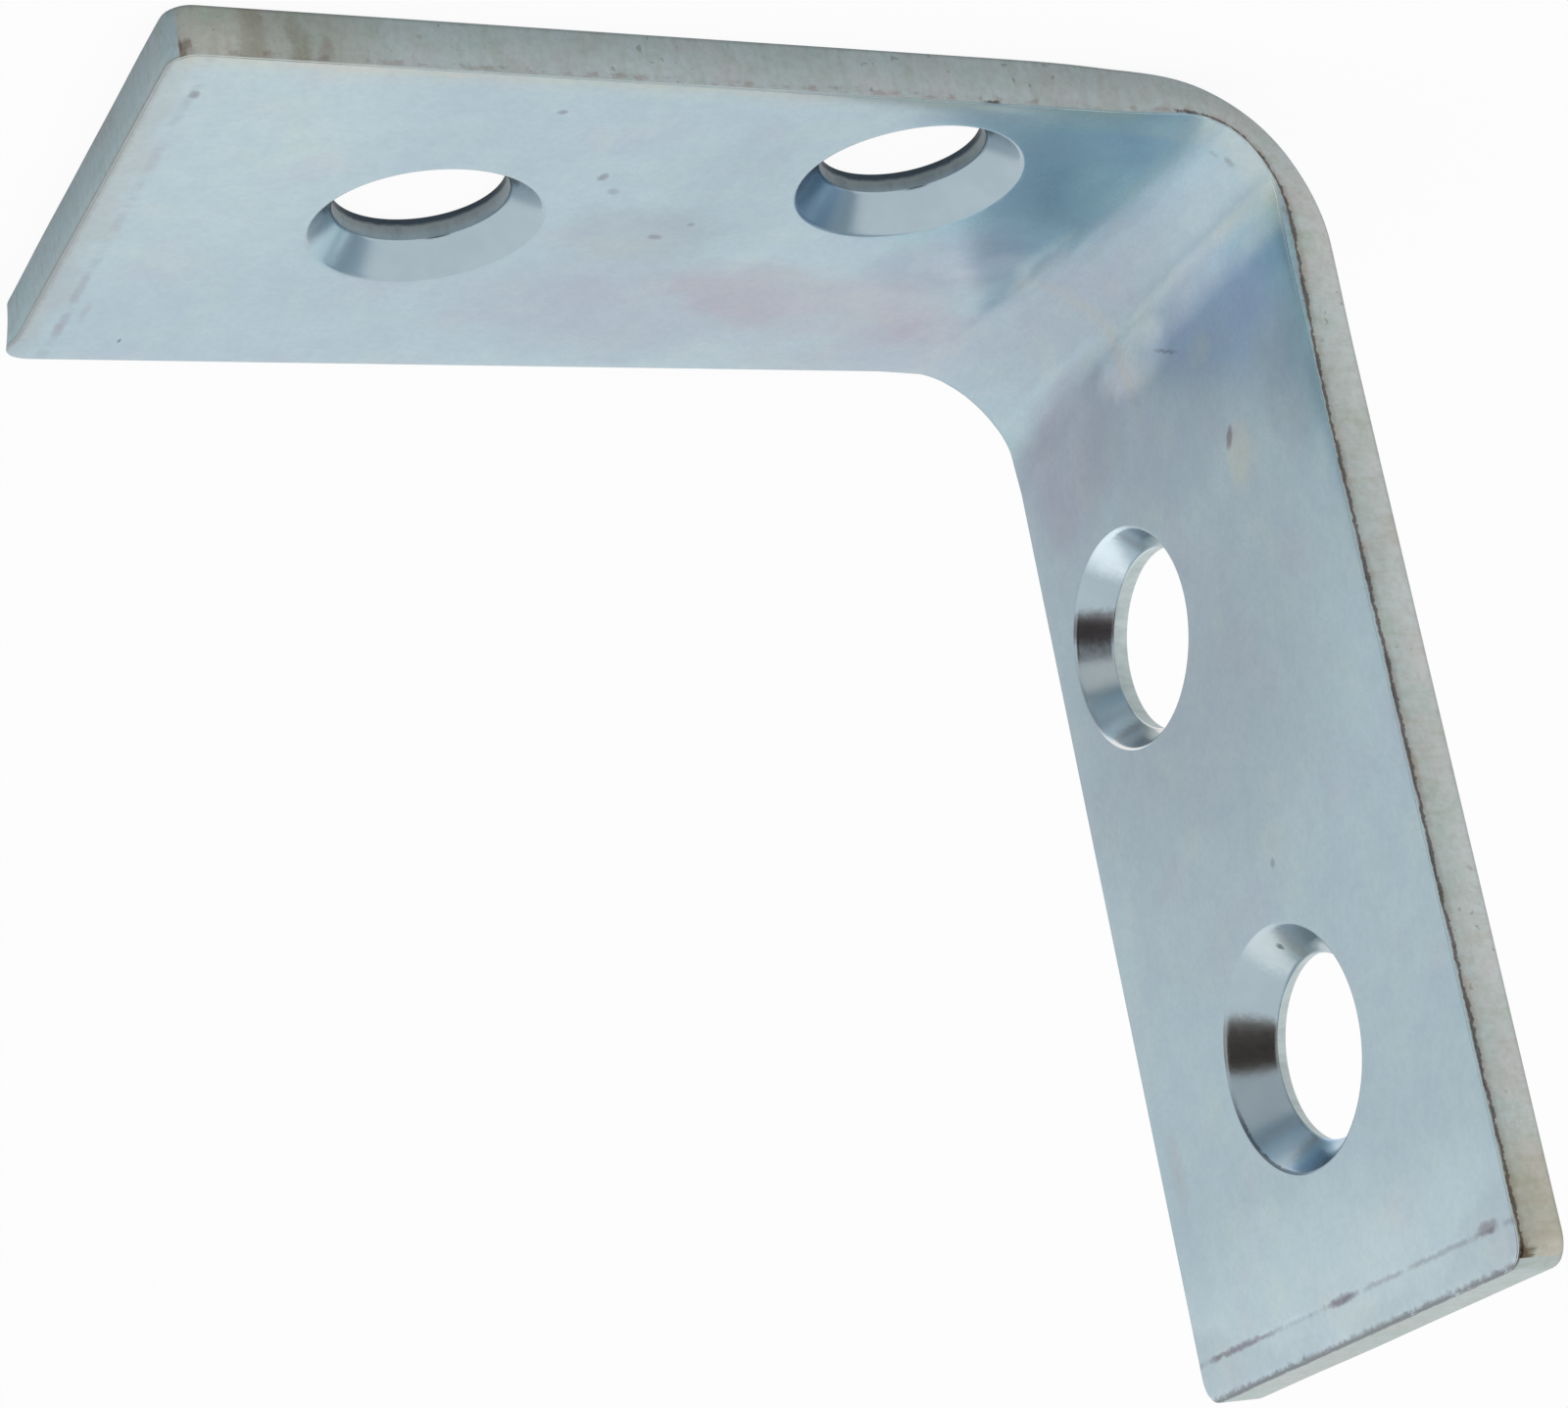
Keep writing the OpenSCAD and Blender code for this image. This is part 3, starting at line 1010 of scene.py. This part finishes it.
def shearedSide():
    f = finishOptions
    material, board, blank, (along, across, depth) = startFinish("shearedSide")
    split = board.node("ShaderNodeAttribute", {"attribute_name": "split"}, {}, "Vector")
    gap, opened, onTip = board.parts(split)
    colour = board.blend(along.between(-12.0, 9.0), f["footSide"], f["uprightSide"])
    colour, clouds = layClouds(board, blank, colour, sideClouds)
    streaks, fine = clouds["streaks"], clouds["fine"]
    longSide = 1.0 - onTip
    place, = stray(board, blank, "side", along)
    colour = laySpots(board, colour, place, depth + (streaks - 0.5) * 1.0, sideTints, longSide)
    onUpright = along.between(-3.0, 8.0)
    onFoot = 1.0 - onUpright
    low = (1.0 - depth.between(0.3, 1.6)) * longSide
    high = depth.between(1.0, 1.9) * longSide
    specks = board.cloud(blank, 0.42, 2, 0.5, shift=83).between(0.66, 0.72)
    dots = board.cloud(board.stretch(blank, (0.6, 1, 1)), 0.4, 3, 0.6, shift=12).between(0.5, 0.6)
    border = (depth + (fine - 0.5) * 0.3).near(2.04, 0.05, 0.2) * longSide * onFoot
    footEnd = onTip * (1.0 - along.between(-1.0, 1.0))
    # the crack is ragged and of uneven width, its line painted dark as the shade in its groove, and
    # dirt has gathered beside it
    ragged = gap + (board.cloud(blank, 0.45, 4, 0.75, shift=60) - 0.5) * 0.36
    thick = board.cloud(blank, 0.8, 3, 0.6, shift=90) - 0.35
    width = 0.055 + thick.atLeast(0.0) * 0.3 + onTip * 0.03
    crackLine = (1.0 - abs(ragged).between(width * 0.4, width)) * opened.between(0.1, 0.4)
    crackLine = crackLine * (1.0 - footEnd)
    stain = board.cloud(blank, 1.6, 3, shift=70).between(0.45, 0.62) * opened
    torn = ragged.between(0.05, 0.2) * longSide
    masks = {
        "uprightLow": low * onUpright,
        "footLow": low * onFoot,
        "uprightHigh": high * onUpright,
        "footHigh": high * onFoot,
        "specks": specks * clouds["slow"].between(0.45, 0.6) * longSide,
        "border": border * dots,
        "footEnd": footEnd,
        "footEndLow": footEnd * (1.0 - depth.between(0.4, 1.2)),
        "footEndHigh": footEnd * depth.between(1.4, 1.9),
        "footEndFar": footEnd * across.between(-2.0, 9.0),
        "footEndCorner": footEnd * across.between(11.4, 12.3),
        "footEndBorder": footEnd * depth.between(2.02, 2.18),
        "uprightEnd": onTip * along.between(-1.0, 1.0),
        # painted shade along the rolled outer edges
        "rolledEdgeShade": 1.0 - depth.between(0.03, 0.28),
        "stain": ragged.near(-0.22, 0.05, 0.3) * stain * longSide,
        "crack": crackLine,
        "smear": ragged.near(-0.04, 0.08, 0.34) * opened.between(0.3, 0.9) * (1.0 - onTip * 0.85),
        "torn": torn,
        "tornHeel": torn * along.near(10.0, 3.0, 6.0),
        "tornBend": torn * along.near(0.5, 2.5, 5.0),
    }
    colour = layShades(board, colour, masks, sideShades)
    closeFinish(board, "side", colour, fine, fine + streaks * 0.6 - crackLine * 2.0)
    return material


def pressedSink():
    material, board, blank, (along, across, depth) = startFinish("pressedSink")
    colour = layClouds(board, blank, finishOptions["sink"], sinkClouds)[0]
    fine = board.cloud(blank, 0.25, 3, 0.6, shift=9)
    ragged = (fine - 0.5) * 0.4
    # painted reflections and highlights in the cones, and one pit
    colour = laySpots(board, colour, along + ragged, across + ragged, sinkPitAndReflections)
    rim = (depth + (board.cloud(blank, 0.4, 3, 0.7, shift=14) - 0.5) * 0.16).between(2.17, 2.25)
    colour = board.tint(colour, rim * inSpot(along, across, sinkRim), sinkRim[-1])
    closeFinish(board, "sink", colour, fine, fine)
    return material


def boreWall():
    f = finishOptions
    material, board, blank, (along, across, depth) = startFinish("boreWall")
    streaks = board.cloud(board.stretch(blank, (1.0, 1.0, 0.3)), 0.5, 3, 0.6)
    onUpright = along.between(-3.0, 3.0)
    # painted shade: the foot's bore walls darker toward the floor, darkest lowest
    colour = board.blend(depth.between(0.45, 1.0), f["footWallShade"], f["sink"])
    colour = board.blend(onUpright, colour, f["uprightWall"])
    low = 1.0 - (depth + (streaks - 0.5) * 0.2).between(0.22, 0.42)
    masks = {"low": low * (1.0 - onUpright), "streaks": streaks.between(0.4, 0.7)}
    colour = layShades(board, colour, masks, wallShades)
    closeFinish(board, "wall", colour, streaks, streaks)
    return material


paintOptions = {
    "sheetTurn": 0.6,           # a face that is squarer than this to its leg is sheet, else side
    "holeTurn": 0.97,           # and beside a hole, one that is less square than this is cone or wall
    "pastRim": 0.15,            # mm
    "coneEnd": 0.02,            # mm
}


def paintStrip(piece, places):
    # gives each face of the mesh the finish of the surface that it belongs to
    o, h, p = foldOptions, holeOptions, paintOptions
    mesh = piece.data
    for make in (zincFace, shearedSide, pressedSink, boreWall):
        mesh.materials.append(make())
    holes = []
    for mount in frame["record"]["mounts"]:
        if mount["name"] in h:
            x, y, z = [n / mm for n in mount["pos_m"]]
            centre = -(x - cadBox[0].x / mm) if liesFlat(mount) else z - cadBox[0].z / mm
            holes.append((centre, y, h[mount["name"]]))
    straight = o["sheet"] + o["innerBend"]
    for part in mesh.polygons:
        corners = [places[i] for i in part.vertices]
        along, across, depth = [sum(c[k] for c in corners) / len(corners) for k in range(3)]
        if along < -straight:
            flatness = abs(part.normal.z)
        elif along > straight:
            flatness = abs(part.normal.x)
        else:
            flatness = math.hypot(part.normal.x, part.normal.z)
        kind = 0 if flatness > p["sheetTurn"] else 1
        for centreAlong, centreAcross, (rim, sinkDepth, wall, mouth) in holes:
            gap = math.hypot(along - centreAlong, across - centreAcross)
            if gap < rim + p["pastRim"] and flatness < p["holeTurn"]:
                kind = 2 if depth > o["sheet"] - sinkDepth - p["coneEnd"] else 3
        part.material_index = kind


strip = foldStrip()
print("strip folded")
gridStrip(strip)
print("strip gridded", len(strip.data.polygons))
cutHoles(strip)
print("holes cut")
blankPlaces = markStrip(strip)
wearStrip(strip, blankPlaces)
print("wear pressed in")
paintStrip(strip, blankPlaces)
print("finish laid on")
selectOnly(strip)
bpy.ops.object.shade_smooth_by_angle(angle=math.radians(foldOptions["smooth"]))

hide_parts("bracket")
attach(strip, "root")
for node in frame["nodes"].values():
    node.data.materials.clear()
    node.data.materials.append(strip.data.materials[0])
